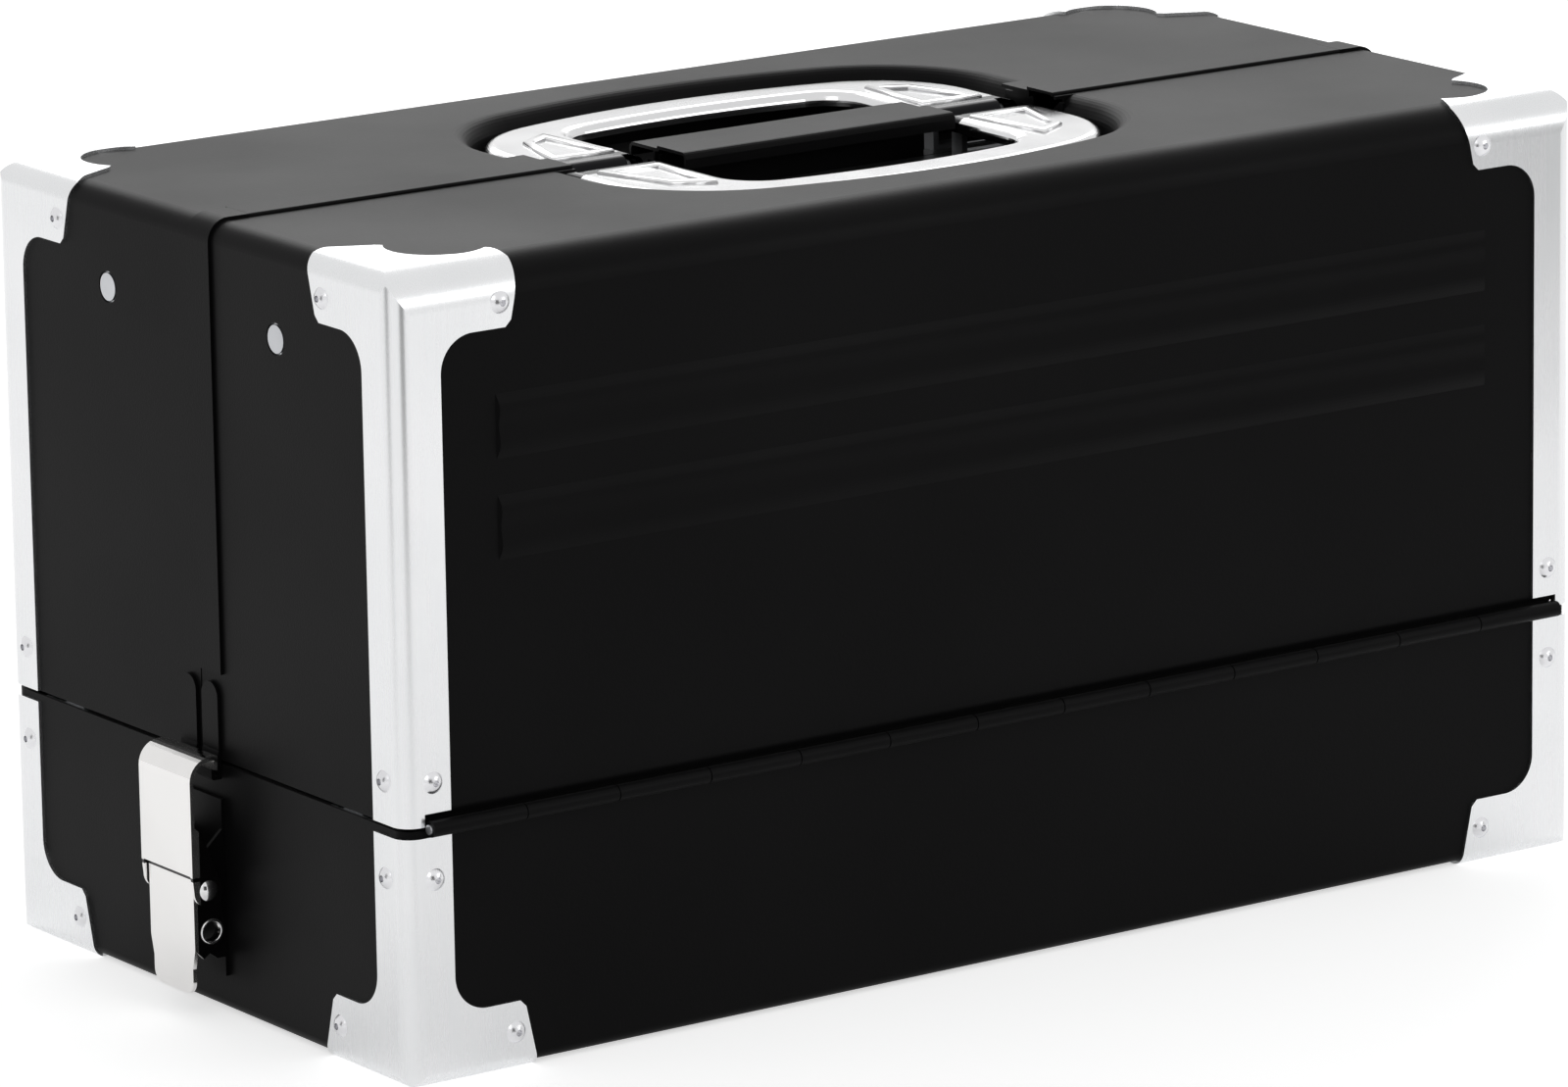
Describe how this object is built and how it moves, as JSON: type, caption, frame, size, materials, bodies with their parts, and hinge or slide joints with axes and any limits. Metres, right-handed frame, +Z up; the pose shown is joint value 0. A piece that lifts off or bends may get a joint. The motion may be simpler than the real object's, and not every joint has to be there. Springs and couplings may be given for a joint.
{
  "type": "hard tool case",
  "caption": "Steel tool case with two lids that fold out from a centre seam, a folding handle in each lid, a draw latch at each end and trays that stay level as the lids open",
  "frame": {"origin": "on the ground under the middle of the case", "axes": "+X along the case, -Y towards the front long side, +Z up"},
  "size_m": [0.4588, 0.228, 0.24],
  "materials": {
    "body": "matt black fine texture powder coat",
    "trays": "satin black paint",
    "guards": "satin rolled sheet",
    "rivets": "bright domed heads",
    "latches": "bright plated pressed steel",
    "handles": "bright plated pressed steel",
    "pins": "zinc plated",
    "brackets": "zinc plated pressings"
  },
  "bodies": {
    "base": {"base_shell": "body", "base_left_front_guard": "guards", "base_right_front_guard": "guards", "base_left_rear_guard": "guards", "base_right_rear_guard": "guards", "base_guard_rivets": "rivets", "front_hinge_base_leaf": "body", "rear_hinge_base_leaf": "body", "front_hinge_pin": "pins", "rear_hinge_pin": "pins", "left_latch_bracket": "brackets", "right_latch_bracket": "brackets", "latch_pivot_rivets": "pins", "arm_anchors": "brackets"},
    "front_lid": {"front_lid_shell": "body", "front_lid_left_end": "body", "front_lid_right_end": "body", "front_lid_left_guard": "guards", "front_lid_right_guard": "guards", "front_lid_guard_rivets": "rivets", "front_hinge_lid_leaf": "body", "front_latch_catches": "body", "front_handle_pan": "body", "front_handle_brackets": "brackets", "front_handle_rods": "pins", "front_tray_pivots": "pins", "left_seam_leg": "body", "right_seam_leg": "body"},
    "rear_lid": {"rear_lid_shell": "body", "rear_lid_left_end": "body", "rear_lid_right_end": "body", "rear_lid_left_guard": "guards", "rear_lid_right_guard": "guards", "rear_lid_guard_rivets": "rivets", "rear_hinge_lid_leaf": "body", "rear_latch_catches": "body", "rear_handle_pan": "body", "rear_handle_brackets": "brackets", "rear_handle_rods": "pins", "rear_tray_pivots": "pins", "left_seam_strip": "body", "right_seam_strip": "body", "handle_bridge": "body"},
    "front_handle": {"front_handle": "handles"},
    "rear_handle": {"rear_handle": "handles"},
    "front_tray": {"front_tray": "trays", "front_tray_pins": "pins"},
    "rear_tray": {"rear_tray": "trays", "rear_tray_pins": "pins"},
    "front_arms": {"front_left_arm": "brackets", "front_right_arm": "brackets"},
    "rear_arms": {"rear_left_arm": "brackets", "rear_right_arm": "brackets"},
    "left_lever": {"left_latch_lever": "latches"},
    "left_hook": {"left_latch_hook": "latches", "left_hook_pins": "pins"},
    "right_lever": {"right_latch_lever": "latches"},
    "right_hook": {"right_latch_hook": "latches", "right_hook_pins": "pins"}
  },
  "joints": [
    {"name": "front_lid_hinge", "type": "hinge", "parent": "base", "child": "front_lid", "pos_m": [0, -0.1116, 0.0772], "axis": [1, 0, 0], "range_deg": [0, 90]},
    {"name": "rear_lid_hinge", "type": "hinge", "parent": "base", "child": "rear_lid", "pos_m": [0, 0.1116, 0.0772], "axis": [-1, 0, 0], "range_deg": [0, 90]},
    {"name": "front_handle_pivot", "type": "hinge", "parent": "front_lid", "child": "front_handle", "pos_m": [0, -0.0075, 0.23175], "axis": [-1, 0, 0], "range_deg": [0, 90]},
    {"name": "rear_handle_pivot", "type": "hinge", "parent": "rear_lid", "child": "rear_handle", "pos_m": [0, 0.0075, 0.23175], "axis": [1, 0, 0], "range_deg": [0, 90]},
    {"name": "front_tray_pivot", "type": "hinge", "parent": "front_lid", "child": "front_tray", "pos_m": [0, -0.0465, 0.2103], "axis": [1, 0, 0], "range_deg": [-90, 0]},
    {"name": "rear_tray_pivot", "type": "hinge", "parent": "rear_lid", "child": "rear_tray", "pos_m": [0, 0.0465, 0.2103], "axis": [-1, 0, 0], "range_deg": [-90, 0]},
    {"name": "front_arm_pivot", "type": "hinge", "parent": "base", "child": "front_arms", "pos_m": [0, -0.08, 0.072], "axis": [1, 0, 0], "range_deg": [0, 90]},
    {"name": "rear_arm_pivot", "type": "hinge", "parent": "base", "child": "rear_arms", "pos_m": [0, 0.08, 0.072], "axis": [-1, 0, 0], "range_deg": [0, 90]},
    {"name": "left_lever_pivot", "type": "hinge", "parent": "base", "child": "left_lever", "pos_m": [-0.2249, 0, 0.0482], "axis": [0, 1, 0], "range_deg": [0, 90]},
    {"name": "left_hook_pivot", "type": "hinge", "parent": "left_lever", "child": "left_hook", "pos_m": [-0.2239, 0, 0.0402], "axis": [0, 1, 0], "range_deg": [-94.5, 0]},
    {"name": "right_lever_pivot", "type": "hinge", "parent": "base", "child": "right_lever", "pos_m": [0.2249, 0, 0.0482], "axis": [0, -1, 0], "range_deg": [0, 90]},
    {"name": "right_hook_pivot", "type": "hinge", "parent": "right_lever", "child": "right_hook", "pos_m": [0.2239, 0, 0.0402], "axis": [0, -1, 0], "range_deg": [-94.5, 0]}
  ],
  "couplings": [
    {"joint": "front_tray_pivot", "follows": "front_lid_hinge", "ratio": -1},
    {"joint": "rear_tray_pivot", "follows": "rear_lid_hinge", "ratio": -1},
    {"joint": "front_arm_pivot", "follows": "front_lid_hinge", "ratio": 1},
    {"joint": "rear_arm_pivot", "follows": "rear_lid_hinge", "ratio": 1},
    {"joint": "left_hook_pivot", "follows": "left_lever_pivot", "ratio": -1.05},
    {"joint": "right_hook_pivot", "follows": "right_lever_pivot", "ratio": -1.05}
  ]
}
